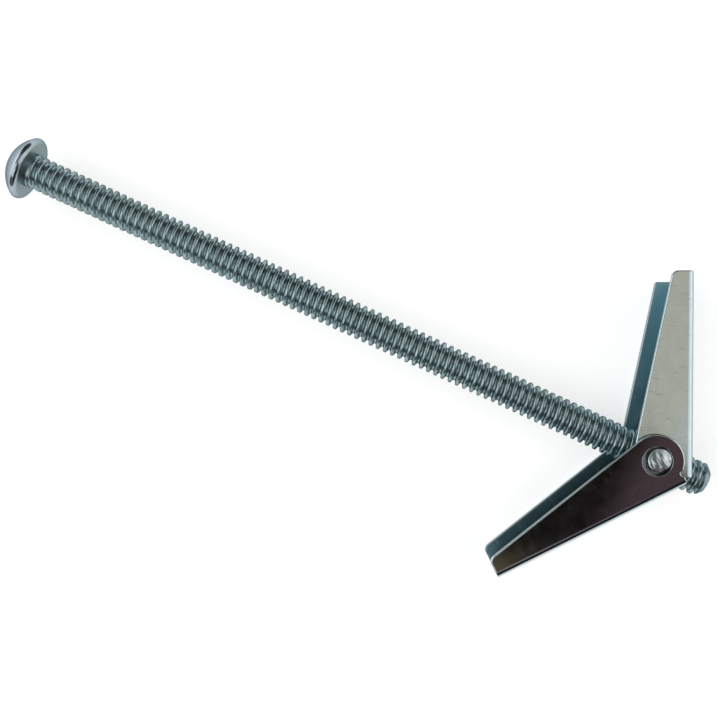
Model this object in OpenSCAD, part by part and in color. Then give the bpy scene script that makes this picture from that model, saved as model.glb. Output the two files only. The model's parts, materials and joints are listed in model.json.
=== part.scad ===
// Spring toggle bolt: a round-head machine screw carries a trunnion nut, and two
// folded sheet wings swing on the nut's trunnions, pushed open by a torsion spring.
// Millimetres. The origin is the centre of the head's bearing face, +X runs along
// the screw to its tip and +Z along the trunnions, so the bolt lies on its side.

/* [Screw] */
// Outside diameter of the thread
thread_d = 3.45; // [3.0:0.05:3.9]
// Number of threads to the inch
threads_per_inch = 32; // [24:1:40]
// Depth of the thread
thread_depth = 0.4; // [0.3:0.05:0.5]
// Distance from the bearing face to the first crest on the +Y side
first_crest = 0.23; // [0:0.01:0.8]
// Length from the bearing face to the tip
screw_len = 74.65; // [45:0.05:110]
// Depth of the chamfer at the tip
tip_chamfer = 0.6; // [0.2:0.05:0.8]
// Length of the plain neck under the head
neck_len = 0.3; // [0.1:0.05:0.6]
// How far the neck stands out past the thread's crests
neck_step = 0.03; // [0.01:0.01:0.1]
// Diameter of the round head
head_d = 6.55; // [5.6:0.05:7.5]
// Height of the round head
head_h = 2.4; // [2.0:0.05:2.8]
// Rounding of the head's rim
head_rim_r = 0.45; // [0.2:0.05:0.6]
// Width of the drive slot
slot_w = 1.1; // [0.8:0.05:1.4]
// Depth of the drive slot from the crown
slot_depth = 1.2; // [0.8:0.05:1.5]

/* [Nut] */
// Distance that the screw's tip stands past the trunnion axis
tip_stand = 5.75; // [3.5:0.05:12]
// Radial clearance between the thread and the nut
thread_gap = 0.06; // [0.03:0.01:0.1]
// Wall of the barrel at each side of the tapped hole
barrel_wall = 0.665; // [0.5:0.005:0.8]
// Wall between the tapped hole and each end of the barrel
end_wall = 0.2; // [0.15:0.05:0.4]
// Distance between the flats where the screw goes in and out
barrel_flats = 4.4; // [4.0:0.1:4.6]
// Countersink of the tapped hole
bore_chamfer = 0.25; // [0.1:0.05:0.35]
// Diameter of the trunnions
trunnion_d = 2.3; // [2.1:0.02:2.7]
// Depth of each trunnion's end below the outer wing's face
trunnion_recess = 0.12; // [0.05:0.01:0.3]
// Chamfer round the end of each trunnion
trunnion_chamfer = 0.12; // [0.05:0.01:0.2]
// Height of the shoulder that the upper ears sit on
shoulder_h = 0.145; // [0.1:0.005:0.4]
// Width of the shoulder's ring round the trunnion
shoulder_ring = 0.6; // [0.3:0.05:0.7]

/* [Wings] */
// Length of a wing from its hinge to its tip
wing_len = 18.8; // [14:0.1:26]
// Thickness of the sheet
sheet_t = 0.5; // [0.4:0.05:0.6]
// Inside radius of the folds
bend_r = 0.15; // [0.1:0.05:0.2]
// Radial play of the hinge hole on its trunnion
hole_play = 0.3; // [0.28:0.01:0.36]
// Slip of the left wing along itself within that play
left_slip = -0.08; // [-0.08:0.01:0.08]
// Slip of the right wing along itself within that play
right_slip = 0.26; // [-0.08:0.01:0.26]
// Shift of the left wing towards its back within that play
left_lift = 0.1; // [-0.04:0.01:0.1]
// Shift of the right wing towards its back within that play
right_lift = -0.04; // [-0.04:0.01:0.1]
// Width of sheet between the hinge hole and the ear's edge
ear_rim = 1.17; // [1.1:0.01:1.6]
// Clearance between an ear and the back of the other wing
web_gap = 0.19; // [0.18:0.01:0.3]
// Clearance between the ears of the two wings
ear_gap = 0.1; // [0.06:0.01:0.2]
// Clearance between an inner ear and the shoulder under it
side_gap = 0.07; // [0.04:0.01:0.15]
// Angle between the wing's back and its open edge
taper = 11.8; // [8:0.1:14]
// Rounding of the open corner at the wing's tip
tip_corner_r = 0.7; // [0.3:0.05:0.9]
// How much shorter the left wing is cut than the right one
left_trim = 0.3; // [0:0.05:0.6]
// How far the left wing's tip slants back from its upper flange to its lower one
left_slant = 0.75; // [0:0.05:1]
// Clearance round the screw where it passes through the wing's back
screw_gap = 0.125; // [0.1:0.005:0.15]
// Clearance past the screw at the closed end of that slot
slot_end_gap = 0.3; // [0.2:0.05:0.8]
// Corner radius of the slot for the screw
slot_corner_r = 0.8; // [0.4:0.05:1.2]
// Radius of the relief notch beside the foot
relief_r = 0.22; // [0.1:0.01:0.3]
// Clearance between the feet of the two open wings, on each side
foot_gap = 0.05; // [0.03:0.01:0.15]
// Angle of the open left wing from the screw
left_open = 65.4; // [60:0.1:68]
// Angle of the open right wing from the screw
right_open = 51.8; // [48:0.1:60]

/* [Spring] */
// Diameter of the wire
wire_d = 0.4; // [0.3:0.02:0.46]
// Gap between the crossing turns of the wire
turn_gap = 0.05; // [0.03:0.01:0.1]
// Clearance between the wire and the faces beside it
wire_gap = 0.035; // [0.03:0.005:0.08]
// Wall of the coil's seat round the trunnion
seat_wall = 0.4; // [0.25:0.01:0.45]
// Clearance between the coil and its seat
coil_play = 0.1; // [0.05:0.01:0.2]
// Distance along a wing at which the leg bears on its back
leg_reach = 9; // [6:0.1:12]

/* [Hidden] */

$fn = 96;
past = 1;                                   // how far a cut runs past a face
zinc = [0.63, 0.66, 0.67];
zinc_warm = [0.66, 0.65, 0.59];
spring_steel = [0.36, 0.38, 0.39];

// Screw
thread_r = thread_d / 2;
head_r = head_d / 2;
thread_pitch = 25.4 / threads_per_inch;
root_r = thread_r - thread_depth;
thread_sides = 16;
thread_from = first_crest - 2 * thread_pitch;
thread_turns = ceil((screw_len - thread_from) / thread_pitch) + 1;
thread_to = thread_from + (thread_turns + 1) * thread_pitch;
pivot_x = screw_len - tip_stand;

// The crown's arc runs over into the rim's arc without a break
rim_centre = [head_r - head_rim_r, -head_rim_r];
crown_r = (rim_centre.x ^ 2 + (head_h - head_rim_r) ^ 2 - head_rim_r ^ 2) / (2 * (head_h - 2 * head_rim_r));
crown_centre = [0, crown_r - head_h];
rim_steps = 8;
crown_steps = 14;

// Nut
bore_r = thread_r + thread_gap;
barrel_r = bore_r + barrel_wall;
barrel_half = bore_r + end_wall;
trunnion_r = trunnion_d / 2;
shoulder_r = trunnion_r + shoulder_ring;
shoulder_z = barrel_half + shoulder_h;

// Spring
wire_r = wire_d / 2;
seat_r = trunnion_r + seat_wall;
coil_r = seat_r + coil_play + wire_r;
upper_turn_z = -(barrel_half + wire_gap + wire_r);
lower_turn_z = upper_turn_z - wire_d - turn_gap;
wire_sides = 10;
coil_steps = 48;

// Wings: each wing's ears are one sheet and one gap away from the other wing's
stagger = sheet_t + ear_gap;
upper_inside = shoulder_z + side_gap;
lower_inside = -lower_turn_z + wire_r + wire_gap;
channel_w = upper_inside + lower_inside + stagger + 2 * sheet_t;
left_mid_z = upper_inside + sheet_t - channel_w / 2;
right_mid_z = left_mid_z + stagger;
hole_r = trunnion_r + hole_play;
ear_r = hole_r + ear_rim;
web_inside = ear_r + web_gap;
web_outside = web_inside + sheet_t;
bend_outside_r = bend_r + sheet_t;
left_dir = 180 - left_open;
right_dir = right_open - 180;

// The open wings stop where the feet of their backs meet
foot_u = foot_gap - web_inside / tan((left_open + right_open) / 2);
foot_v = sqrt(ear_r * ear_r - foot_u * foot_u);

// The slot in a back clears the screw at the widest open angle
widest = max(left_open, right_open);
screw_slot_u = (thread_r - web_inside * cos(widest)) / sin(widest) + slot_end_gap;
screw_slot_half = thread_r + screw_gap + max(abs(left_mid_z), abs(right_mid_z));

// A leg leaves the coil as a tangent and ends against its wing's back at leg_reach
function leg_v(lift) = web_inside + lift - wire_gap - wire_r;
function leg_span(lift) = norm([leg_reach, leg_v(lift)]);
function leg_turn(lift) = atan(leg_v(lift) / leg_reach) + asin(coil_r / leg_span(lift));
function leg_len(lift) = sqrt(leg_span(lift) ^ 2 - coil_r ^ 2);
left_leg_dir = left_dir - leg_turn(left_lift);
right_leg_dir = right_dir + leg_turn(right_lift);

// Points along an arc from one angle up to, but not with, another
function arc_points(centre, r, from, to, steps) =
    [for (i = [0:steps - 1]) let (a = from + (to - from) * i / steps) centre + r * [cos(a), sin(a)]];

// Half of the head in section: X is the radius and Y runs along the screw
module head_profile() {
    out = rim_centre - crown_centre;
    meet = atan2(out.y, out.x);
    polygon(concat(
        [[0, 0]],
        arc_points(rim_centre, head_rim_r, 90, meet, rim_steps),
        arc_points(crown_centre, crown_r, meet, -90, crown_steps),
        [[0, -head_h]]));
}

// Point of the thread after k steps of its helix, at a radius and a shift along the screw
function thread_point(k, r, shift) =
    let (a = 360 * k / thread_sides)
    [thread_from + thread_pitch * k / thread_sides + shift, r * cos(a), r * sin(a)];

// Right-hand thread: a crest line and a root line, joined by two flanks and closed at both ends
module rolled_thread() {
    n = thread_sides;
    steps = n * thread_turns;
    crests = [for (k = [0:steps]) thread_point(k, thread_r, 0)];
    roots = [for (k = [0:steps]) thread_point(k, root_r, thread_pitch / 2)];
    first = steps + 1;
    start_pole = 2 * first;
    end_pole = start_pole + 1;
    rising = [for (k = [0:steps - 1], f = [
        [k, first + k, first + k + 1],
        [k, first + k + 1, k + 1]]) f];
    falling = [for (k = [0:steps - n - 1], f = [
        [first + k, k + n, k + n + 1],
        [first + k, k + n + 1, first + k + 1]]) f];
    start_fan = concat(
        [for (k = [0:n - 1]) [start_pole, k, k + 1]],
        [[start_pole, n, first], [start_pole, first, 0]]);
    end_fan = concat(
        [for (k = [steps - n:steps - 1]) [end_pole, first + k + 1, first + k]],
        [[end_pole, steps, first + steps], [end_pole, first + steps - n, steps]]);
    poles = [
        [thread_from + thread_pitch / 2, 0, 0],
        [thread_from + thread_pitch * thread_turns, 0, 0]];
    polyhedron(
        points = concat(crests, roots, poles),
        faces = concat(rising, falling, start_fan, end_fan));
}

// Everything past the screw's flat end and its chamfer
module tip_cut() {
    rotate([0, 90, 0]) rotate_extrude() polygon([
        [0, screw_len],
        [thread_r - tip_chamfer, screw_len],
        [thread_r + past, screw_len - tip_chamfer - past],
        [thread_r + past, thread_to],
        [0, thread_to],
    ]);
}

// Round head with its drive slot, plain neck and threaded shank
module machine_screw() {
    color(zinc) difference() {
        union() {
            rotate([0, 90, 0]) rotate_extrude() head_profile();
            rotate([0, 90, 0]) cylinder(r = thread_r + neck_step, h = neck_len);
            rolled_thread();
        }
        translate([-head_h - past, -head_d, -slot_w / 2])
            cube([slot_depth + past, 2 * head_d, slot_w]);
        tip_cut();
    }
}

// Pin along Z from one height to another, its far end chamfered
module chamfered_pin(r, z_from, z_to) {
    up = z_to > z_from ? 0 : 180;
    span = abs(z_to - z_from) - trunnion_chamfer;
    translate([0, 0, z_from]) rotate([up, 0, 0]) {
        cylinder(r = r, h = span);
        translate([0, 0, span])
            cylinder(r1 = r, r2 = r - trunnion_chamfer, h = trunnion_chamfer);
    }
}

// Countersunk hole across the barrel for the screw
module tapped_hole() {
    half = barrel_flats / 2;
    rotate([0, 90, 0]) {
        cylinder(r = bore_r, h = barrel_flats + 2 * past, center = true);
        for (side = [0, 180]) rotate([side, 0, 0]) translate([0, 0, half - bore_chamfer])
            cylinder(r1 = bore_r, r2 = bore_r + bore_chamfer + past, h = bore_chamfer + past);
    }
}

// Barrel with two flats, a shoulder above, the coil's seat below and a trunnion at each end
module trunnion_nut() {
    right_top = right_mid_z + channel_w / 2;
    left_bottom = left_mid_z - channel_w / 2;
    color(zinc) translate([pivot_x, 0, 0]) difference() {
        union() {
            intersection() {
                cylinder(r = barrel_r, h = 2 * barrel_half, center = true);
                cube([barrel_flats, 2 * barrel_r + past, 2 * barrel_half + past], center = true);
            }
            cylinder(r = shoulder_r, h = shoulder_z);
            translate([0, 0, side_gap - lower_inside]) cylinder(r = seat_r, h = lower_inside);
            chamfered_pin(trunnion_r, 0, right_top - trunnion_recess);
            chamfered_pin(trunnion_r, 0, left_bottom + trunnion_recess);
        }
        tapped_hole();
    }
}

// Rounded U outline, open towards -X, with its closed side at x = depth
module u_outline(depth, width, r) {
    reach = 2 * ear_r;
    translate([-reach, -width / 2]) square([reach + depth - r, width]);
    translate([-reach, -width / 2 + r]) square([reach + depth, width - 2 * r]);
    for (side = [-1, 1]) translate([depth - r, side * (width / 2 - r)]) circle(r = r);
}

// Flange seen from the side: round ear, tapered open edge, rounded tip corner, foot at the back
module flange_outline(tip_u) {
    open_edge = function (u) u * tan(taper) - ear_r / cos(taper);
    edge_out = [sin(taper), -cos(taper)];
    corner_u = tip_u - tip_corner_r;
    corner = [corner_u, open_edge(corner_u) + tip_corner_r / cos(taper)];
    difference() {
        union() {
            circle(r = ear_r);
            translate(corner) circle(r = tip_corner_r);
            polygon([
                ear_r * edge_out,
                corner + tip_corner_r * edge_out,
                corner,
                [tip_u, corner.y],
                [tip_u, web_outside],
                [foot_u, web_outside],
                [foot_u, foot_v],
                [0, 0],
            ]);
        }
        circle(r = hole_r);
        translate([foot_u, foot_v + relief_r / 2]) circle(r = relief_r);
    }
}

// Slot in the wing's back for the screw, open at the foot and rounded at its closed end
module screw_slot_outline() {
    reach = 2 * ear_r;
    inner_half = screw_slot_half - slot_corner_r;
    translate([-reach, -screw_slot_half])
        square([reach + screw_slot_u - slot_corner_r, 2 * screw_slot_half]);
    translate([-reach, -inner_half]) square([reach + screw_slot_u, 2 * inner_half]);
    for (side = [-1, 1])
        translate([screw_slot_u - slot_corner_r, side * inner_half]) circle(r = slot_corner_r);
}

// Cut across a wing's tip, slanting back from the middle of the upper flange's sheet
module slanted_cut(tip_u, slant) {
    top = (channel_w - sheet_t) / 2;
    bottom = -channel_w / 2 - past;
    back = slant * (top - bottom) / (top + channel_w / 2);
    rotate([90, 0, 0]) linear_extrude(height = 4 * web_outside, center = true)
        polygon([[tip_u, top], [tip_u - back, bottom], [tip_u + past, bottom], [tip_u + past, top]]);
}

// Folded channel along +X with its hinge on Z and its back at +Y
module wing(tip_u, slant) {
    difference() {
        intersection() {
            translate([-2 * ear_r, 0, 0]) rotate([90, 0, 90])
                linear_extrude(height = 2 * ear_r + tip_u + past) difference() {
                    u_outline(web_outside, channel_w, bend_outside_r);
                    u_outline(web_inside, channel_w - 2 * sheet_t, bend_r);
                }
            linear_extrude(height = channel_w + past, center = true) flange_outline(tip_u);
        }
        translate([0, web_outside + past, 0]) rotate([90, 0, 0])
            linear_extrude(height = sheet_t + bend_r + past) screw_slot_outline();
        if (slant > 0) slanted_cut(tip_u, slant);
    }
}

module left_wing() {
    color(zinc_warm) translate([pivot_x, 0, left_mid_z]) rotate([0, 0, left_dir])
        translate([left_slip, -left_lift, 0]) mirror([0, 1, 0]) wing(wing_len - left_trim, left_slant);
}

module right_wing() {
    color(zinc) translate([pivot_x, 0, right_mid_z]) rotate([0, 0, right_dir])
        translate([right_slip, right_lift, 0]) wing(wing_len, 0);
}

// Ring of points round the wire where it runs along the unit direction t
function wire_ring(p, t) =
    let (side = cross([0, 0, 1], t), n = side / norm(side), b = cross(t, n))
    [for (k = [0:wire_sides - 1]) let (a = 360 * k / wire_sides)
        p + wire_r * (cos(a) * n + sin(a) * b)];

// Point of the coil and its direction, on the clockwise run from the right leg to the left
function coil_ring(s) =
    let (
        from = right_leg_dir + 270,
        to = left_leg_dir - 270,
        a = from + (to - from) * s,
        z = lower_turn_z + (upper_turn_z - lower_turn_z) * s
    )
    wire_ring([coil_r * cos(a), coil_r * sin(a), z], [sin(a), -cos(a), 0]);

// One turn of wire with a straight leg at each end
module torsion_spring() {
    right_way = [cos(right_leg_dir), sin(right_leg_dir), 0];
    left_way = [cos(left_leg_dir), sin(left_leg_dir), 0];
    right_end = [for (p = coil_ring(0)) p + leg_len(right_lift) * right_way];
    left_end = [for (p = coil_ring(1)) p + leg_len(left_lift) * left_way];
    rings = concat([right_end], [for (i = [0:coil_steps]) coil_ring(i / coil_steps)], [left_end]);
    last = len(rings) - 1;
    sides = [for (i = [0:last - 1], k = [0:wire_sides - 1])
        let (a = i * wire_sides, m = (k + 1) % wire_sides)
        [a + k, a + m, a + m + wire_sides, a + k + wire_sides]];
    caps = [
        [for (k = [wire_sides - 1:-1:0]) k],
        [for (k = [0:wire_sides - 1]) last * wire_sides + k],
    ];
    color(spring_steel) translate([pivot_x, 0, 0])
        polyhedron(points = [for (ring = rings, p = ring) p], faces = concat(sides, caps));
}

machine_screw();
trunnion_nut();
left_wing();
right_wing();
torsion_spring();
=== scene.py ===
"""Spring toggle bolt in bright zinc: rolled thread, round slotted head, folded wings and torsion spring.

Everything is in metres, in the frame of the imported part: the origin is the centre of the head's
bearing face, +X runs along the screw to its tip and +Z along the trunnions.
"""

import json
import math

import bmesh
import bpy
import numpy as np
from mathutils import Matrix, Vector


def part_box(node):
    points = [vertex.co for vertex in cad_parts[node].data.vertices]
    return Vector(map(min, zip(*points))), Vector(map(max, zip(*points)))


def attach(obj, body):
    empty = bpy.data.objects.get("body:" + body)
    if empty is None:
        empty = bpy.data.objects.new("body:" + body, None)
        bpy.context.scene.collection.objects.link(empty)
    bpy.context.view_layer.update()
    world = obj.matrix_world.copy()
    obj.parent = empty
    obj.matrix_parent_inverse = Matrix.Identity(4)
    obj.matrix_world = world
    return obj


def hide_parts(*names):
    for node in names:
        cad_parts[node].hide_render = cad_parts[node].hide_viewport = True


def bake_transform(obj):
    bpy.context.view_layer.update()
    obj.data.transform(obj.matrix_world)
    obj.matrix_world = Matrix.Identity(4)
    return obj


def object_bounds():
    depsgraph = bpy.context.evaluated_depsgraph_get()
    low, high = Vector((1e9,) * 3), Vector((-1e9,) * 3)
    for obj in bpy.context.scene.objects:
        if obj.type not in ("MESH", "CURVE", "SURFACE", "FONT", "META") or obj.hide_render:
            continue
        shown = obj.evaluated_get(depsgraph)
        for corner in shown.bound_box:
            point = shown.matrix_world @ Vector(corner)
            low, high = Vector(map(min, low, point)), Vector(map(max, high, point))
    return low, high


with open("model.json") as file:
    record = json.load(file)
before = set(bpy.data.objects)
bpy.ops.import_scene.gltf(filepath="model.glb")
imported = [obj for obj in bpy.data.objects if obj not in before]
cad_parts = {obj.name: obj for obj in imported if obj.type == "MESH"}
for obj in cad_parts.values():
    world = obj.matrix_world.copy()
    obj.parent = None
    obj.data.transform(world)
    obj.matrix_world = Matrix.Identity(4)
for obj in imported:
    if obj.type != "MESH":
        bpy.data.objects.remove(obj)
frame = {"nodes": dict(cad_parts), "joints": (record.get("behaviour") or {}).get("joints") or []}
cad_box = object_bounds()

MM = 0.001
INCH = 25.4 * MM

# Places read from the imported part
joints = {joint["name"]: joint for joint in frame["joints"]}
HINGE = np.array(joints["left_wing_fold"]["pos_m"])
LEFT_FOLD = math.radians(joints["left_wing_fold"]["range_deg"][1])
RIGHT_FOLD = math.radians(joints["right_wing_fold"]["range_deg"][1])
LEFT_WAY = math.pi - LEFT_FOLD      # direction of the open wing about Z, from +X
RIGHT_WAY = RIGHT_FOLD - math.pi
SCREW_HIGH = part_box("machine_screw")[1]
NUT_LOW, NUT_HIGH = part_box("trunnion_nut")
SPRING_LOW, SPRING_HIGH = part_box("torsion_spring")
FLOOR_Z = cad_box[0].z

# Threaded shank
SCREW_LEN = SCREW_HIGH.x
THREAD_R = 1.725 * MM
THREADS_PER_INCH = 32
THREAD_PITCH = INCH / THREADS_PER_INCH
THREAD_DEPTH = 0.40 * MM
FIRST_CREST = 0.23 * MM             # from the bearing face to a crest on the +Y side
CREST_SHARE = 0.30                  # half width of the crest, in half pitches
ROOT_SHARE = 0.20                   # half width of the root, in half pitches
FLANK_SOFTNESS = 0.55               # 0 for straight flanks, 1 for a full S curve
CREST_WEAR = 0.035 * MM             # depth of the worst knocks on the crests
WEAR_WAVES = ((1.7, 0), (3.1, 1), (0.61, 2))    # rate along the helix and start of each wave
NECK_LEN = 0.3 * MM
NECK_STEP = 0.03 * MM               # how far the neck stands out past the crests
TIP_CHAMFER = 0.6 * MM
HEAD_SINK = 0.3 * MM                # how far the shank runs on inside the head
RINGS_PER_PITCH = 12
SHANK_SIDES = 64

# Round head
HEAD_R = SCREW_HIGH.y
HEAD_H = 2.4 * MM
RIM_R = 0.45 * MM
SLOT_W = 1.1 * MM
SLOT_DEPTH = 1.2 * MM
CUT_PAST = 1 * MM                   # how far the slot's cutter runs past the crown
HEAD_EDGE = 0.05 * MM               # round on the slot's edges
CROWN_START = 0.02                  # angle of the crown's first ring from the axis, in radians
SEAT_END = 0.3 * MM                 # radius of the bearing face's last ring
CROWN_RINGS = 40
RIM_RINGS = 20
SEAT_RINGS = 4
HEAD_SIDES = 96

# Wings
WEB_INSIDE = 2.81 * MM              # from the hinge's axis to the inside of a wing's back
LEFT_LIFT = 0.1 * MM                # shift of the wing towards its back, within the hinge's play
RIGHT_LIFT = -0.04 * MM
LEFT_LEAN = -1.2                    # degrees that the flanges lean towards -Y after the fold
RIGHT_LEAN = 2.6
DIE_ROLL = 0.14 * MM                # round that the press leaves on the sheet's cut edges
HOLE_ROLL_SHARE = 0.4               # share of that round on the rims of the hinge holes
HOLE_REACH = 1.8 * MM               # no other edge of a wing is this near to the hinge's axis
FACING = 0.1                        # a face looks some way if its normal has more than this share of it
UPRIGHT_Z = 0.3                     # a face is upright if its normal has less than this share of Z
BACK_MARGIN = 0.1 * MM              # a face this far short of the back's inside is clear of the back
SHEET_SLOT, EDGE_SLOT, CHANNEL_SLOT, HOLE_SLOT = range(4)

# Merging and rounding of the meshes
MERGE_GAP = 0.0005 * MM             # points closer than this are one point
FLAT_DEG = 0.6                      # faces that meet at less than this are one face
SHARP_DEG = 32                      # faces that meet at more than this get a round between them

# Torsion spring
WIRE_R = 0.2 * MM
WIRE_GAP = 0.035 * MM               # between a leg and the back that it bears on
COIL_R = 1.85 * MM
UPPER_TURN_Z = SPRING_HIGH.z - WIRE_R
LOWER_TURN_Z = SPRING_LOW.z + WIRE_R
MIDDLE_TURN_Z = (UPPER_TURN_Z + LOWER_TURN_Z) / 2
LEG_REACH = 9 * MM                  # from the hinge to the end of a leg, along its wing
LEFT_LEG_V = WEB_INSIDE + LEFT_LIFT - WIRE_GAP - WIRE_R     # the same, square to the wing
RIGHT_LEG_V = WEB_INSIDE + RIGHT_LIFT - WIRE_GAP - WIRE_R
BEND_FROM = 2.3 * MM                # distances from the coil along a leg, at which spring_half gives two points
BEND_TO = 4.6 * MM
COIL_RINGS = 33
LEG_RINGS = 25
WIRE_SIDES = 16

# Nut and the torn ends of its trunnions; the waves' rates are in radians for each mm
NUT_EDGE = 0.04 * MM                # round on the nut's turned edges
TRUNNION_R = 1.15 * MM
END_SHY = 0.03 * MM                 # how much smaller a torn end is than its trunnion
END_R = TRUNNION_R - END_SHY
END_INSET = 0.01 * MM               # how far a torn end starts below the trunnion's own end
END_SKIRT = 0.13 * MM               # depth at which it closes inside the trunnion
END_START = 0.03                    # share of the radius at its first ring
END_RINGS = 30
END_SIDES = 72
END_FADE = 6                        # power of the radius by which the tearing fades to the edge
TEAR_WAY = (0.9, 0.42)              # direction across the ridges, in X and Y
RIDGE_RATE = 4.6
RIDGE_START = 0.4
RIDGE_SWAY = 0.7                    # how far the ridges bend to and fro, in radians of their wave
RIDGE_SWAY_RATE = 2.3
TEAR_RATE = 7
TEAR_SWAY = 2.2
TEAR_SWAY_RATE = 3.3
BREAK_RATES = (9, 3)                # across and along the ridges, of the wave that breaks the tears up
END_RISE_MM = 0.045
RIDGE_RISE_MM = 0.034
TEAR_RISE_MM = 0.007
END_TILT = 0.02                     # mm of rise for each mm across

# Finishes: widths of their patterns in mm, depths of their relief, and colours
GRAIN_MM = 0.12                     # rolling grain of the sheet, drawn coarse enough to show
GRAIN_SHARE = 0.05                  # share of its scale along the wing, which draws it out
GRAIN_DEPTH = 0.003 * MM
SMUDGE_MM = 1.6
RUB_MM = 0.3                        # short rubs that run across the wing
RUB_SHARE = 0.2                     # share of their scale across the wing
RUB_DEPTH = 0.004 * MM
RUB_DULLING = 0.06                  # roughness that a rub adds
RUB_COLOUR = "#a9b9be"
SHEET_GLANCE = "#aab4b6"            # what the sheet shows at a glancing angle
PATCH_MM = 0.9                      # patches of thick and thin passivate
PIT_DEPTH = 0.008 * MM
SEAT_SHADE_COLOUR = "#a0adae"             # painted shade: a darker grey on the head's bearing face
SEAT_DULLING = 0.2                  # roughness that it adds there
DRAG_MM = 0.11                      # drag lines of a sheared edge
DRAG_SHARE = 0.15                   # share of their scale through the sheet's thickness
DRAG_DEPTH = 0.012 * MM
DIE_MARK_MM = 0.1                   # marks of the drawing die on the wire
DIE_MARK_DEPTH = 0.006 * MM


def linear(hex_colour):
    """Turns an sRGB hex colour into linear RGBA: each channel's usual sRGB curve, alpha 1."""
    channels = np.array([int(hex_colour[i:i + 2], 16) for i in (1, 3, 5)]) / 255
    low = channels / 12.92
    high = ((channels + 0.055) / 1.055) ** 2.4
    return (*np.where(channels <= 0.04045, low, high).tolist(), 1.0)


def add(tree, kind, inputs=None, **settings):
    """Adds one node, sets its properties, and links or fills the named inputs."""
    made = tree.nodes.new(kind)
    for key, value in settings.items():
        setattr(made, key, value)
    for name, value in (inputs or {}).items():
        if isinstance(value, bpy.types.NodeSocket):
            tree.links.new(value, made.inputs[name])
        else:
            made.inputs[name].default_value = value
    return made


def new_material(name):
    """An empty material with only its output node."""
    material = bpy.data.materials.new(name)
    material.use_nodes = True
    material.node_tree.nodes.clear()
    output = add(material.node_tree, "ShaderNodeOutputMaterial")
    return material, material.node_tree, output


def per_mm(size_mm):
    """Texture scale at which one feature is about size_mm wide, on coordinates in metres."""
    return 1 / (size_mm * MM)


def zinc_sheet(name, way, lean, pale, deep, rough_low, rough_high):
    """Bright zinc plate with a blue passivate on cold-rolled sheet.

    A mirror-like grey with a blue cast. The channel's copy is given darker, bluer colours: painted shade
    for the light that bounces about in it.
    A faint grain runs along the wing, short dull rubs lie across it and smudges take off some
    gloss. The flanges spring back from the fold, so their shine leans by a degree or two.
    """
    material, tree, output = new_material(name)
    coords = add(tree, "ShaderNodeTexCoord").outputs["Object"]
    along = add(tree, "ShaderNodeMapping", {
        "Vector": coords, "Rotation": (0, 0, -way)}).outputs["Vector"]
    grain_space = add(tree, "ShaderNodeMapping", {
        "Vector": along, "Scale": (GRAIN_SHARE, 1, 1)}).outputs["Vector"]
    rub_space = add(tree, "ShaderNodeMapping", {
        "Vector": along, "Scale": (1, RUB_SHARE, 1)}).outputs["Vector"]

    grain = add(tree, "ShaderNodeTexNoise", {
        "Vector": grain_space, "Scale": per_mm(GRAIN_MM), "Detail": 3.0}).outputs["Fac"]
    smudge = add(tree, "ShaderNodeTexNoise", {
        "Vector": coords, "Scale": per_mm(SMUDGE_MM), "Detail": 5.0, "Roughness": 0.65}).outputs["Fac"]
    rub = add(tree, "ShaderNodeTexNoise", {
        "Vector": rub_space, "Scale": per_mm(RUB_MM), "Detail": 2.0}).outputs["Fac"]
    rubbed = add(tree, "ShaderNodeMapRange", {
        "Value": rub, "From Min": 0.62, "From Max": 0.74}, clamp=True).outputs["Result"]

    tint = add(tree, "ShaderNodeMapRange", {
        "Value": smudge, "From Min": 0.35, "From Max": 0.7}, clamp=True).outputs["Result"]
    colour = add(tree, "ShaderNodeMix", {
        "Factor": tint, "A": linear(pale), "B": linear(deep)}, data_type="RGBA")
    worn = add(tree, "ShaderNodeMix", {
        "Factor": rubbed, "A": colour.outputs["Result"], "B": linear(RUB_COLOUR)}, data_type="RGBA")
    dulled = add(tree, "ShaderNodeMapRange", {
        "Value": smudge, "From Min": 0.3, "From Max": 0.75, "To Min": rough_low, "To Max": rough_high},
        clamp=True).outputs["Result"]
    roughness = add(tree, "ShaderNodeMath", {
        0: rubbed, 1: RUB_DULLING, 2: dulled}, operation="MULTIPLY_ADD").outputs["Value"]

    # The lean is a ramp along Y: its slope is the bump's distance
    across = add(tree, "ShaderNodeSeparateXYZ", {"Vector": coords}).outputs["Y"]
    leaning = add(tree, "ShaderNodeBump", {
        "Height": across, "Strength": 1.0, "Distance": math.tan(math.radians(abs(lean)))},
        invert=lean < 0).outputs["Normal"]
    rolled = add(tree, "ShaderNodeBump", {
        "Height": grain, "Strength": 0.1, "Distance": GRAIN_DEPTH,
        "Normal": leaning}).outputs["Normal"]
    scored = add(tree, "ShaderNodeBump", {
        "Height": rubbed, "Strength": 0.15, "Distance": RUB_DEPTH,
        "Normal": rolled}, invert=True).outputs["Normal"]
    shader = add(tree, "ShaderNodeBsdfPrincipled", {
        "Base Color": worn.outputs["Result"], "Metallic": 1.0, "Roughness": roughness,
        "Specular Tint": linear(SHEET_GLANCE), "Normal": scored})
    tree.links.new(shader.outputs["BSDF"], output.inputs["Surface"])
    return material


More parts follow.
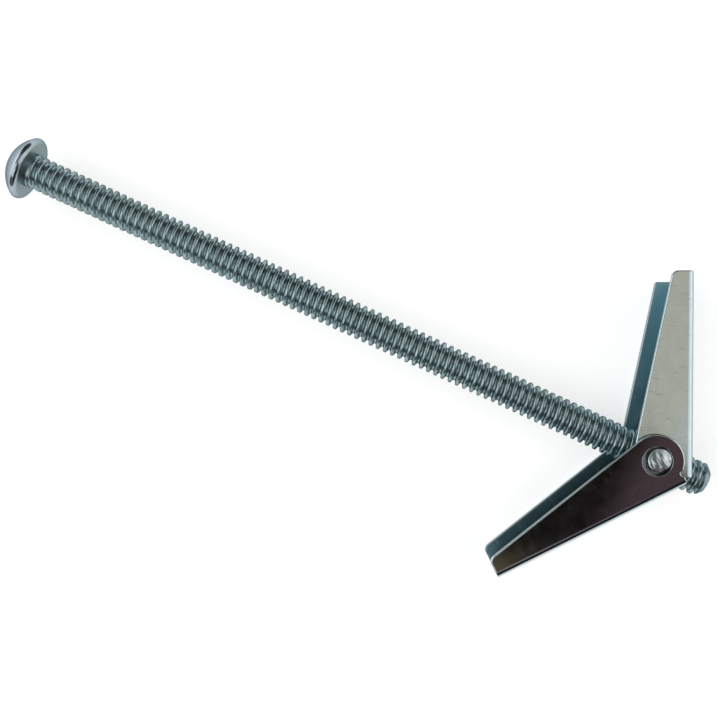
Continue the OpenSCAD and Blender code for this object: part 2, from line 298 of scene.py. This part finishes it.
def zinc_round(name, pit_mm, rough_low, rough_high, pale, deep, glance="#ffffff", dull_shaded_seat=False):
    """Bright zinc plate on rolled, turned, sheared or punched steel.

    The plating builds up unevenly over tool marks, so it glints in small patches: fine pits
    of pit_mm, and colour that runs from pale to deep where the passivate is thicker. The glance
    colour is what it shows at a glancing angle, dark where the plate is matt. With the seat flag
    set, the head's bearing face gets painted shade, a darker grey, and a rougher plate.
    """
    material, tree, output = new_material(name)
    coords = add(tree, "ShaderNodeTexCoord").outputs["Object"]
    patches = add(tree, "ShaderNodeTexNoise", {
        "Vector": coords, "Scale": per_mm(PATCH_MM), "Detail": 4.0}).outputs["Fac"]
    pits = add(tree, "ShaderNodeTexNoise", {
        "Vector": coords, "Scale": per_mm(pit_mm), "Detail": 3.0}).outputs["Fac"]
    share = add(tree, "ShaderNodeMapRange", {
        "Value": patches, "From Min": 0.35, "From Max": 0.68}, clamp=True).outputs["Result"]
    colour = add(tree, "ShaderNodeMix", {
        "Factor": share, "A": linear(pale), "B": linear(deep)}, data_type="RGBA")
    roughness = add(tree, "ShaderNodeMapRange", {
        "Value": patches, "From Min": 0.3, "From Max": 0.7,
        "To Min": rough_low, "To Max": rough_high}, clamp=True).outputs["Result"]
    # painted shade: the bearing face under the head's rim is coloured a darker grey, and made rougher
    if dull_shaded_seat:
        along = add(tree, "ShaderNodeSeparateXYZ", {"Vector": coords}).outputs["X"]
        seat = add(tree, "ShaderNodeMapRange", {
            "Value": along, "From Min": -RIM_R / 2, "From Max": 0.0}, clamp=True).outputs["Result"]
        colour = add(tree, "ShaderNodeMix", {
            "Factor": seat, "A": colour.outputs["Result"], "B": linear(SEAT_SHADE_COLOUR)}, data_type="RGBA")
        roughness = add(tree, "ShaderNodeMath", {
            0: seat, 1: SEAT_DULLING, 2: roughness}, operation="MULTIPLY_ADD").outputs["Value"]
    plated = add(tree, "ShaderNodeBump", {
        "Height": pits, "Strength": 0.3, "Distance": PIT_DEPTH}).outputs["Normal"]
    shader = add(tree, "ShaderNodeBsdfPrincipled", {
        "Base Color": colour.outputs["Result"], "Metallic": 1.0, "Roughness": roughness,
        "Specular Tint": linear(glance), "Normal": plated})
    tree.links.new(shader.outputs["BSDF"], output.inputs["Surface"])
    return material


def sheared_edge(name, pale, deep):
    """Sheared steel edge under thin zinc: plain grey, with fine drag lines through the thickness."""
    material, tree, output = new_material(name)
    coords = add(tree, "ShaderNodeTexCoord").outputs["Object"]
    drag_space = add(tree, "ShaderNodeMapping", {
        "Vector": coords, "Scale": (1, 1, DRAG_SHARE)}).outputs["Vector"]
    drag = add(tree, "ShaderNodeTexNoise", {
        "Vector": drag_space, "Scale": per_mm(DRAG_MM), "Detail": 3.0}).outputs["Fac"]
    colour = add(tree, "ShaderNodeMix", {
        "Factor": drag, "A": linear(pale), "B": linear(deep)}, data_type="RGBA")
    torn = add(tree, "ShaderNodeBump", {
        "Height": drag, "Strength": 0.5, "Distance": DRAG_DEPTH}).outputs["Normal"]
    shader = add(tree, "ShaderNodeBsdfPrincipled", {
        "Base Color": colour.outputs["Result"], "Metallic": 1.0, "Roughness": 0.34,
        "Normal": torn})
    tree.links.new(shader.outputs["BSDF"], output.inputs["Surface"])
    return material


def drawn_wire(name, pale, deep):
    """Hard-drawn spring wire: dark grey steel, finely mottled by the die, that shines as if oiled."""
    material, tree, output = new_material(name)
    coords = add(tree, "ShaderNodeTexCoord").outputs["Object"]
    die_marks = add(tree, "ShaderNodeTexNoise", {
        "Vector": coords, "Scale": per_mm(DIE_MARK_MM), "Detail": 2.0}).outputs["Fac"]
    colour = add(tree, "ShaderNodeMix", {
        "Factor": die_marks, "A": linear(pale), "B": linear(deep)}, data_type="RGBA")
    drawn = add(tree, "ShaderNodeBump", {
        "Height": die_marks, "Strength": 0.25, "Distance": DIE_MARK_DEPTH}).outputs["Normal"]
    shader = add(tree, "ShaderNodeBsdfPrincipled", {
        "Base Color": colour.outputs["Result"], "Metallic": 1.0, "Roughness": 0.28,
        "Normal": drawn})
    tree.links.new(shader.outputs["BSDF"], output.inputs["Surface"])
    return material


def mesh_object(name, points, faces, smooth_deg=40):
    """A mesh object from an array of points and a list of faces, smooth below smooth_deg."""
    mesh = bpy.data.meshes.new(name)
    mesh.from_pydata(np.asarray(points).tolist(), [], faces)
    mesh.shade_smooth()
    mesh.set_sharp_from_angle(angle=math.radians(smooth_deg))
    made = bpy.data.objects.new(name, mesh)
    bpy.context.scene.collection.objects.link(made)
    return made


def tube_faces(rings, sides):
    """Quads between neighbouring rings of a closed tube, as corner numbers into ring-major points."""
    ring, side = np.meshgrid(np.arange(rings - 1), np.arange(sides), indexing="ij")
    here = ring * sides + side
    beside = ring * sides + (side + 1) % sides
    quads = np.stack([here, here + sides, beside + sides, beside], axis=-1)
    return quads.reshape(-1, 4).tolist()


def closed_tube(name, rings, first_pole, last_pole, smooth_deg):
    """A tube through rings (count, sides, 3), closed by a fan to a pole point at each end."""
    count, sides, _ = rings.shape
    points = np.concatenate([rings.reshape(-1, 3), [first_pole, last_pole]])
    first, last = count * sides, count * sides + 1
    side = np.arange(sides)
    following = (side + 1) % sides
    start_fan = np.stack([np.full(sides, first), side, following], axis=-1).tolist()
    base = (count - 1) * sides
    end_fan = np.stack([np.full(sides, last), base + following, base + side], axis=-1).tolist()
    return mesh_object(name, points, tube_faces(count, sides) + start_fan + end_fan, smooth_deg)


def settle_modifiers(made):
    """Keeps the evaluated mesh as the object's own mesh and drops its modifiers."""
    depsgraph = bpy.context.evaluated_depsgraph_get()
    settled = bpy.data.meshes.new_from_object(made.evaluated_get(depsgraph))
    made.modifiers.clear()
    made.data = settled


def face_arrays(mesh):
    """Normals and areas of a mesh's faces, and the face that each of its corners belongs to."""
    count = len(mesh.polygons)
    normals, areas = np.empty(count * 3), np.empty(count)
    sides = np.empty(count, np.int32)
    mesh.polygons.foreach_get("normal", normals)
    mesh.polygons.foreach_get("area", areas)
    mesh.polygons.foreach_get("loop_total", sides)
    return normals.reshape(-1, 3), areas, np.repeat(np.arange(count), sides)


def edge_arrays(mesh):
    """Each edge's middle on a closed mesh, and the cosine of the angle between its two faces' normals."""
    normals, _, owner = face_arrays(mesh)
    points, ends = np.empty(len(mesh.vertices) * 3), np.empty(len(mesh.edges) * 2, np.int32)
    edge_of = np.empty(len(mesh.loops), np.int32)
    mesh.vertices.foreach_get("co", points)
    mesh.edges.foreach_get("vertices", ends)
    mesh.loops.foreach_get("edge_index", edge_of)
    middles = points.reshape(-1, 3)[ends.reshape(-1, 2)].mean(axis=1)
    beside = owner[np.argsort(edge_of, kind="stable")].reshape(-1, 2)
    return middles, np.sum(normals[beside[:, 0]] * normals[beside[:, 1]], axis=1)


def lead_normals(mesh):
    """Keeps flat faces flat in the shading beside narrow rounds.

    The normal at a point is the sum of the normals of its faces, each times the cube of its area,
    so the largest face leads and faces of like size share.
    """
    normals, areas, owner = face_arrays(mesh)
    point_of = np.empty(len(mesh.loops), np.int32)
    mesh.loops.foreach_get("vertex_index", point_of)
    pull = normals * ((areas / areas.max()) ** 3)[:, None]
    led = np.zeros((len(mesh.vertices), 3))
    np.add.at(led, point_of, pull[owner])
    led /= np.linalg.norm(led, axis=1, keepdims=True)
    mesh.shade_smooth()
    mesh.normals_split_custom_set_from_vertices(led.tolist())


def soften_edges(made, width, segments, hole_share=1.0):
    """A small round on every sharp edge; those near the hinge's axis take hole_share of it."""
    mesh = made.data
    middles, face_cosine = edge_arrays(mesh)
    from_axis = np.hypot(middles[:, 0] - HINGE[0], middles[:, 1] - HINGE[1])
    share = np.where(from_axis < HOLE_REACH, hole_share, 1.0)
    weights = np.where(face_cosine < math.cos(math.radians(SHARP_DEG)), share, 0.0)
    weight_layer = mesh.attributes.new("bevel_weight_edge", "FLOAT", "EDGE")
    weight_layer.data.foreach_set("value", weights)
    bevel = made.modifiers.new("soft_edges", "BEVEL")
    bevel.width = width
    bevel.segments = segments
    bevel.limit_method = "WEIGHT"
    bevel.use_clamp_overlap = False
    bevel.loop_slide = False
    settle_modifiers(made)
    lead_normals(made.data)


def threaded_shank():
    """Rolled right-hand thread on the shank.

    The radius at a place along and round the screw is the outside radius less the groove's depth
    there. The groove repeats each pitch and moves one pitch for each turn: a flat crest, a flank
    that is part straight and part S curve, a flat root. A few slow waves along the helix knock
    the crests down by a hair. A plain neck joins it to the head, and the cone of the tip's
    chamfer cuts it off.
    """
    steps = int(round((SCREW_LEN + HEAD_SINK) / THREAD_PITCH * RINGS_PER_PITCH))
    x = np.linspace(-HEAD_SINK, SCREW_LEN, steps + 1)[:, None]
    turn = np.linspace(0, 2 * math.pi, SHANK_SIDES, endpoint=False)[None, :]
    phase = (x - FIRST_CREST) / THREAD_PITCH - turn / (2 * math.pi)
    from_crest = np.abs((phase + 0.5) % 1 - 0.5) * 2
    down = np.clip((from_crest - CREST_SHARE) / (1 - CREST_SHARE - ROOT_SHARE), 0, 1)
    s_curve = down * down * (3 - 2 * down)
    down = (1 - FLANK_SOFTNESS) * down + FLANK_SOFTNESS * s_curve
    helix = np.round(phase) * 2 * math.pi + turn
    wear = sum(np.sin(rate * helix + start) for rate, start in WEAR_WAVES) / len(WEAR_WAVES)
    knocked = CREST_WEAR * np.clip(wear, 0, 1) * (1 - down)
    radius = THREAD_R - THREAD_DEPTH * down - knocked
    radius = np.where(x < NECK_LEN, THREAD_R + NECK_STEP, radius)
    cone = THREAD_R - TIP_CHAMFER + (SCREW_LEN - x)
    radius = np.minimum(radius, cone)
    rings = np.stack(np.broadcast_arrays(x, radius * np.cos(turn), radius * np.sin(turn)), axis=-1)
    return closed_tube("threaded_shank", rings, (-HEAD_SINK, 0, 0), (SCREW_LEN, 0, 0), smooth_deg=75)


def round_head():
    """Round head with a drive slot.

    A profile turned about the screw: the crown's arc, the rim's smaller arc that carries on from
    it without a break, and the flat bearing face. The crown's radius follows from the head's
    height and from the rim's arc touching it inside. A box along Y is then cut out for the slot.
    """
    rim_y = HEAD_R - RIM_R
    crown = (rim_y ** 2 + (HEAD_H - RIM_R) ** 2 - RIM_R ** 2) / (2 * (HEAD_H - 2 * RIM_R))
    centre_x = crown - HEAD_H
    rim_turn = math.atan2(rim_y, centre_x + RIM_R)
    arc = np.linspace(CROWN_START, rim_turn, CROWN_RINGS)
    dome = np.stack([centre_x - crown * np.cos(arc), crown * np.sin(arc)], axis=-1)
    rim = np.linspace(rim_turn, math.pi, RIM_RINGS)[1:]
    edge = np.stack([-RIM_R - RIM_R * np.cos(rim), rim_y + RIM_R * np.sin(rim)], axis=-1)
    seat_y = np.linspace(rim_y, SEAT_END, SEAT_RINGS)[1:]
    seat = np.stack([np.zeros_like(seat_y), seat_y], axis=-1)
    profile = np.concatenate([dome, edge, seat])
    turn = np.linspace(0, 2 * math.pi, HEAD_SIDES, endpoint=False)
    x = np.repeat(profile[:, :1], turn.size, axis=1)
    y = profile[:, 1:] * np.cos(turn)
    z = profile[:, 1:] * np.sin(turn)
    rings = np.stack([x, y, z], axis=-1)
    head = closed_tube("round_head", rings, (-HEAD_H, 0, 0), (0, 0, 0), smooth_deg=50)

    low = np.array([-HEAD_H - CUT_PAST, -2 * HEAD_R, -SLOT_W / 2])
    high = np.array([-HEAD_H + SLOT_DEPTH, 2 * HEAD_R, SLOT_W / 2])
    corners = np.indices((2, 2, 2)).reshape(3, -1).T
    cutter = mesh_object("slot_cutter", low + corners * (high - low), [
        (0, 1, 3, 2), (4, 6, 7, 5), (0, 4, 5, 1), (2, 3, 7, 6), (0, 2, 6, 4), (1, 5, 7, 3)])
    cut = head.modifiers.new("drive_slot", "BOOLEAN")
    cut.object = cutter
    cut.operation = "DIFFERENCE"
    cut.solver = "EXACT"
    settle_modifiers(head)
    bpy.data.objects.remove(cutter)
    soften_edges(head, HEAD_EDGE, segments=2)
    return head


def merged_copy(node_name, name):
    """A copy of a CAD node's mesh, its doubles merged and its flat faces joined."""
    mesh = frame["nodes"][node_name].data.copy()
    mesh.name = name
    mesh.materials.clear()
    work = bmesh.new()
    work.from_mesh(mesh)
    bmesh.ops.remove_doubles(work, verts=work.verts, dist=MERGE_GAP)
    bmesh.ops.dissolve_limit(
        work, angle_limit=math.radians(FLAT_DEG), verts=work.verts, edges=work.edges)
    work.to_mesh(mesh)
    work.free()
    mesh.shade_smooth()
    made = bpy.data.objects.new(name, mesh)
    bpy.context.scene.collection.objects.link(made)
    return made


def mark_faces(wing, way, middle_z):
    """Gives the wing's cut edges, channel and hole walls their own materials; those of the channel and
    the hole walls carry painted shade.

    The rolled faces look along the trunnions, along the wing's back or, in a fold, between the
    two. A cut face looks along the wing, or stands on edge away from the back. A face of the
    channel looks towards the middle height, or away from the back. A hole's wall is upright and
    close to the hinge's axis.
    """
    mesh = wing.data
    normals, _, _ = face_arrays(mesh)
    centres = np.empty(len(mesh.polygons) * 3)
    mesh.polygons.foreach_get("center", centres)
    centres = centres.reshape(-1, 3) - HINGE
    length_way = np.array([math.cos(way), math.sin(way), 0])
    back_way = np.sign(way) * np.array([math.sin(way), -math.cos(way), 0])
    ends = np.abs(normals @ length_way) > FACING
    upright = np.abs(normals[:, 2]) < UPRIGHT_Z
    clear_of_back = centres @ back_way < WEB_INSIDE - BACK_MARGIN
    cut = upright & (ends | clear_of_back)
    inward = normals[:, 2] * np.sign(centres[:, 2] - middle_z) < -FACING
    channel = inward | ((normals @ back_way < -FACING) & ~clear_of_back)
    hole = upright & (np.hypot(centres[:, 0], centres[:, 1]) < HOLE_REACH)
    index = np.select([hole, cut, channel], [HOLE_SLOT, EDGE_SLOT, CHANNEL_SLOT], SHEET_SLOT)
    mesh.polygons.foreach_set("material_index", index.astype(np.int32))


def leg_turn(leg_v):
    """Angle between a wing and its leg: the slope to the leg's end plus the coil's tangent angle."""
    return math.atan(leg_v / LEG_REACH) + math.asin(COIL_R / math.hypot(LEG_REACH, leg_v))


# Angle of the whole coil, between the points where its legs leave it
SPRING_SPAN = LEFT_FOLD + RIGHT_FOLD + leg_turn(LEFT_LEG_V) + leg_turn(RIGHT_LEG_V) + math.pi


def spring_half(name, way, leg_v, turn_z):
    """Half of the spring: half of the coil, then a straight leg tangent to it.

    The wire's centre line runs round a circle while it climbs evenly, then straight on. A circle
    of the wire's radius is carried along it, square to its direction.
    """
    side = np.sign(way)
    leg_way = way - side * leg_turn(leg_v)
    leave = leg_way + side * math.pi / 2
    middle = leave + side * SPRING_SPAN / 2
    turn = np.linspace(middle, leave, COIL_RINGS)
    climb = np.linspace(0, 1, COIL_RINGS)
    level = np.zeros(COIL_RINGS)
    coil_z = MIDDLE_TURN_Z + (turn_z - MIDDLE_TURN_Z) * climb
    coil = np.stack([COIL_R * np.cos(turn), COIL_R * np.sin(turn), coil_z], axis=-1)
    coil_way = np.stack([side * np.sin(turn), -side * np.cos(turn), level], axis=-1)
    direction = np.array([math.cos(leg_way), math.sin(leg_way), 0])
    leg_len = math.sqrt(LEG_REACH ** 2 + leg_v ** 2 - COIL_R ** 2)
    steps = np.linspace(0, leg_len, LEG_RINGS)[1:, None]
    leg = coil[-1] + steps * direction
    line = np.concatenate([coil, leg]) + [HINGE[0], HINGE[1], 0]
    ways = np.concatenate([coil_way, np.repeat(direction[None], len(leg), axis=0)])
    across = np.stack([-ways[:, 1], ways[:, 0], np.zeros(len(ways))], axis=-1)
    round_turn = np.linspace(0, 2 * math.pi, WIRE_SIDES, endpoint=False)[None, :, None]
    upward = np.array([0, 0, 1.0])
    rings = line[:, None] + WIRE_R * (np.cos(round_turn) * across[:, None] + np.sin(round_turn) * upward)
    half = closed_tube(name, rings, line[0], line[-1], smooth_deg=50)
    root = line[len(coil) - 1]
    return half, root + BEND_FROM * direction, root + BEND_TO * direction


def trunnion_end(name, z, up):
    """Sheared end of a trunnion: a low disc crossed by the ridges that the shear tore.

    Height at a point is a tilt plus two sets of waves, one across the disc with bent ridges and a
    finer one along it, faded to nothing at the edge.
    """
    share = np.linspace(END_START, 1, END_RINGS)[:, None]
    turn = np.linspace(0, 2 * math.pi, END_SIDES, endpoint=False)[None, :]
    radius = END_R * share
    x, y = radius * np.cos(turn), radius * np.sin(turn)
    across = (TEAR_WAY[0] * x + TEAR_WAY[1] * y) / MM
    along = (TEAR_WAY[0] * y - TEAR_WAY[1] * x) / MM
    ridges = np.sin(across * RIDGE_RATE + RIDGE_SWAY * np.sin(along * RIDGE_SWAY_RATE) + RIDGE_START)
    breaks = np.sin(across * BREAK_RATES[0] + along * BREAK_RATES[1])
    tears = np.sin(along * TEAR_RATE + TEAR_SWAY * np.sin(across * TEAR_SWAY_RATE)) * breaks
    fade = 1 - share ** END_FADE
    rise_mm = END_RISE_MM + RIDGE_RISE_MM * ridges + TEAR_RISE_MM * tears + END_TILT * across
    height = fade * rise_mm * MM
    top = np.stack([HINGE[0] + x, HINGE[1] + y, z + up * height], axis=-1)
    skirt = top[-1:].copy()
    skirt[..., 2] -= up * END_SKIRT
    points = np.concatenate([top, skirt])[::-1]
    inner_pole = (HINGE[0], HINGE[1], z - up * END_SKIRT)
    outer_pole = (HINGE[0], HINGE[1], z + up * float(height[0].mean()))
    made = closed_tube(name, points, inner_pole, outer_pole, smooth_deg=60)
    work = bmesh.new()
    work.from_mesh(made.data)
    bmesh.ops.recalc_face_normals(work, faces=work.faces)
    work.to_mesh(made.data)
    work.free()
    return made


def finish_piece(made, body, slot, nodes, *materials):
    """Materials, body, record slot (not used) and the CAD nodes that the piece stands for.

    The body is None for a piece that is attached to no body.
    """
    for material in materials:
        made.data.materials.append(material)
    if body:
        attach(made, body)
    if nodes:
        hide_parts(*nodes)


# Finishes that the pieces share
thread_zinc = zinc_round(
    "rolled_thread_bright_zinc", pit_mm=0.16, rough_low=0.22, rough_high=0.36,
    pale="#a3b5b8", deep="#8b9da1", glance="#7f8a8b")
head_zinc = zinc_round(
    "headed_steel_bright_zinc", pit_mm=0.35, rough_low=0.1, rough_high=0.18,
    pale="#abb5bf", deep="#a1acb6", glance="#9aa3a8", dull_shaded_seat=True)
nut_zinc = zinc_round(
    "turned_steel_bright_zinc", pit_mm=0.2, rough_low=0.18, rough_high=0.32,
    pale="#a6b6bc", deep="#8a9ca3")
torn_zinc = zinc_round(
    "sheared_pin_zinc", pit_mm=0.12, rough_low=0.14, rough_high=0.3,
    pale="#d4dcde", deep="#a3aeb2")
# painted shade: the hinge holes' walls are coloured near black for the shade inside them; their high
# roughness is the punched steel's
hole_shade_zinc = zinc_round(
    "punched_steel_dull_zinc", pit_mm=0.1, rough_low=0.45, rough_high=0.6,
    pale="#6d7672", deep="#4c5551")
edge_zinc = sheared_edge("sheared_sheet_edge_zinc", pale="#a7afae", deep="#7f8888")
wire_steel = drawn_wire("hard_drawn_spring_wire", pale="#8d989b", deep="#6d787c")

# Screw
finish_piece(threaded_shank(), "screw", "screw_zinc", ["machine_screw"], thread_zinc)
finish_piece(round_head(), "screw", "screw_zinc", ["machine_screw"], head_zinc)

# Wings: node and body, direction, lean, and the pale and deep colours inside the channel, which are
# painted shade, darker and bluer than the sheet and darkest on the right wing
WINGS = (
    ("left_wing", LEFT_WAY, LEFT_LEAN, "#aacbd3", "#9dbec9"),
    ("right_wing", RIGHT_WAY, RIGHT_LEAN, "#849fa7", "#78939b"),
)
for wing, way, lean, painted_channel_pale, painted_channel_deep in WINGS:
    sheet = merged_copy(wing, wing + "_sheet")
    low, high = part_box(wing)
    mark_faces(sheet, way, (low.z + high.z) / 2)
    soften_edges(sheet, DIE_ROLL, segments=3, hole_share=HOLE_ROLL_SHARE)
    sheet_zinc = zinc_sheet(
        wing + "_bright_zinc_sheet", way, lean, pale="#bfced2", deep="#b6c6cb",
        rough_low=0.07, rough_high=0.13)
    # painted shade: the channel's darker, bluer colours stand for the light that bounces about in it,
    # darker on the right wing
    channel_painted_shade_zinc = zinc_sheet(
        wing + "_channel_zinc", way, lean=0.0, pale=painted_channel_pale, deep=painted_channel_deep,
        rough_low=0.28, rough_high=0.38)
    finish_piece(sheet, wing, "wing_zinc", [wing], sheet_zinc, edge_zinc, channel_painted_shade_zinc, hole_shade_zinc)

# Nut and the torn ends of its trunnions
turned_nut = merged_copy("trunnion_nut", "turned_nut")
soften_edges(turned_nut, NUT_EDGE, segments=2)
finish_piece(turned_nut, "nut", "nut_zinc", ["trunnion_nut"], nut_zinc)
upper_end = trunnion_end("upper_trunnion_end", NUT_HIGH.z - END_INSET, up=1)
finish_piece(upper_end, "nut", "nut_zinc", [], torn_zinc)
lower_end = trunnion_end("lower_trunnion_end", NUT_LOW.z + END_INSET, up=-1)
finish_piece(lower_end, "nut", "nut_zinc", [], torn_zinc)

# Halves of the spring: name, wing that the leg follows, its direction, leg's end, turn's height
SPRING_HALVES = (
    ("spring_left_half", "left_wing", LEFT_WAY, LEFT_LEG_V, UPPER_TURN_Z),
    ("spring_right_half", "right_wing", RIGHT_WAY, RIGHT_LEG_V, LOWER_TURN_Z),
)
for name, wing, way, leg_v, turn_z in SPRING_HALVES:
    half, start, end = spring_half(name, way, leg_v, turn_z)
    finish_piece(half, None, "spring_wire", ["torsion_spring"], wire_steel)
    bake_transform(half)

# Camera at the photograph's place: close above the bolt, the screw sloping down to the right
CAMERA_AT = Vector((41.54, -1.37, 101.96)) * MM
CAMERA_VIEW = Vector((-0.03233, -0.01982, -0.99928))
CAMERA_RIGHT = Vector((0.90653, 0.42046, -0.03767))
FOCAL_PIXELS = 1013.24
FRAME_PIXELS = 717
SENSOR_MM = 36.0
NEAREST = 1 * MM                    # what is closer to the lens than this is cut off

camera_data = bpy.data.cameras.new("photo_camera")
camera_data.sensor_width = SENSOR_MM
camera_data.lens = FOCAL_PIXELS / FRAME_PIXELS * SENSOR_MM
camera_data.clip_start = NEAREST
camera = bpy.data.objects.new("photo_camera", camera_data)
bpy.context.scene.collection.objects.link(camera)
back = -CAMERA_VIEW.normalized()
up = back.cross(CAMERA_RIGHT).normalized()
turned = Matrix((up.cross(back), up, back)).transposed().to_4x4()
camera.matrix_world = Matrix.Translation(CAMERA_AT) @ turned
bpy.context.scene.camera = camera


def seen_rays(tree):
    """1 for rays that the eye, a mirror or glass sends out, 0 for light off a matt surface."""
    rays = add(tree, "ShaderNodeLightPath").outputs
    mirrored = add(tree, "ShaderNodeMath", {
        0: rays["Is Camera Ray"], 1: rays["Is Glossy Ray"]}, operation="MAXIMUM").outputs["Value"]
    return add(tree, "ShaderNodeMath", {
        0: mirrored, 1: rays["Is Transmission Ray"]}, operation="MAXIMUM").outputs["Value"]


def pale_floor(name, colour, lift):
    """Pale matt floor that the eye and mirrors see lifted to white, with its shadow kept."""
    material, tree, output = new_material(name)
    lifted = add(tree, "ShaderNodeMath", {
        0: seen_rays(tree), 1: lift}, operation="MULTIPLY").outputs["Value"]
    shader = add(tree, "ShaderNodeBsdfPrincipled", {
        "Base Color": linear(colour), "Roughness": 1.0, "Specular IOR Level": 0.0,
        "Emission Color": (1, 1, 1, 1), "Emission Strength": lifted})
    tree.links.new(shader.outputs["BSDF"], output.inputs["Surface"])
    return material


def glowing_card(name, colour, radiance):
    """A card that shines evenly, as a softbox, a reflector or a black flag does."""
    material, tree, output = new_material(name)
    shader = add(tree, "ShaderNodeEmission", {"Color": linear(colour), "Strength": radiance})
    tree.links.new(shader.outputs["Emission"], output.inputs["Surface"])
    return material


def stage_card(name, corner, first_edge, second_edge, material):
    """A flat stage rectangle from a corner along two edges, in metres."""
    corner, first_edge, second_edge = (np.array(v) for v in (corner, first_edge, second_edge))
    points = [corner, corner + first_edge, corner + first_edge + second_edge, corner + second_edge]
    card = mesh_object(name, points, [(0, 1, 2, 3)])
    card.data.materials.append(material)
    return card


# Stage: a pale floor and cards round and above the bolt, in metres
FLOOR_HALF = 3.0
FLOOR_GAP = 0.02 * MM               # how far the floor lies below the lowest point
FLOOR_COLOUR = "#e8e8e6"
FLOOR_LIFT = 0.62                   # white that the eye and mirrors see added to it
stage_card("floor", (-FLOOR_HALF, -FLOOR_HALF, FLOOR_Z - FLOOR_GAP), (2 * FLOOR_HALF, 0, 0),
           (0, 2 * FLOOR_HALF, 0), pale_floor("pale_floor", FLOOR_COLOUR, FLOOR_LIFT))

# Name, corner, two edges, colour and radiance of each card
CARDS = (
    ("cool_ceiling", (-0.6, -0.6, 0.6), (1.2, 0, 0), (0, 0.62, 0), "#a2a9ab", 1.0),
    ("dim_ceiling", (-0.6, 0.02, 0.6), (0.69, 0, 0), (0, 0.58, 0), "#969b9c", 1.0),
    ("key_card", (-0.30, -0.45, 0.36), (0.37, 0, 0), (0, 0.43, 0), "#fbfeff", 1.3),
    ("key_end", (0.07, -0.45, 0.36), (0.07, 0, 0), (0, 0.30, 0), "#fbfeff", 1.3),
    ("warm_card", (0.085, 0.024, 0.40), (0.097, 0, 0), (0, 0.28, 0), "#dccfbd", 1.0),
    ("pale_card", (0.182, 0.024, 0.40), (0.04, 0, 0), (0, 0.28, 0), "#dfdcd8", 1.0),
    ("bright_ceiling", (0.222, 0.024, 0.42), (0.54, 0, 0), (0, 0.58, 0), "#ffffff", 1.05),
    ("side_wall", (0.55, 0.02, 0.02), (0, 0.53, 0), (0, 0, 0.40), "#ffffff", 1.4),
    ("dark_card", (0.075, -0.108, 0.40), (0.095, 0, 0), (0, 0.132, 0), "#160f0e", 1.0),
    ("ear_card", (0.170, -0.112, 0.40), (0.143, 0, 0), (0, 0.136, 0), "#5c4648", 1.0),
    ("brown_card", (0.075, -0.16, 0.40), (0.075, 0, 0), (0, 0.052, 0), "#705a3e", 1.0),
    ("line_card", (0.15, -0.24, 0.40), (0.15, 0, 0), (0, 0.128, 0), "#958d89", 1.0),
    ("back_flag", (-0.50, 0.40, 0.0), (0.80, 0, 0), (0, 0, 0.60), "#424a4c", 1.0),
    ("front_flag", (-0.60, -0.62, 0.0), (0.70, 0, 0), (0, 0, 0.60), "#5c6669", 1.0),
    ("right_flag", (0.50, -0.02, 0.0), (-0.40, -0.45, 0), (0, 0, 0.60), "#2a2626", 1.0),
    ("head_card", (-0.42, -0.25, 0.0), (0, 0.45, 0), (0, 0, 0.42), "#ffffff", 1.7),
)
for name, corner, first_edge, second_edge, colour, radiance in CARDS:
    card = stage_card(name, corner, first_edge, second_edge, glowing_card(name, colour, radiance))
    card.visible_camera = False

# White surround for the eye and for mirrors, dimmer as a light
SURROUND_WHITE = "#f8f9fa"
SURROUND_LIGHT = "#b4babd"
world = bpy.data.worlds.new("white_surround")
bpy.context.scene.world = world
world.use_nodes = True
world.node_tree.nodes.clear()
surround = add(world.node_tree, "ShaderNodeMix", {
    "Factor": seen_rays(world.node_tree), "A": linear(SURROUND_LIGHT), "B": linear(SURROUND_WHITE)},
    data_type="RGBA")
sky = add(world.node_tree, "ShaderNodeBackground", {"Color": surround.outputs["Result"], "Strength": 1.0})
add(world.node_tree, "ShaderNodeOutputWorld", {"Surface": sky.outputs["Background"]})

bpy.context.scene.view_settings.view_transform = "Standard"
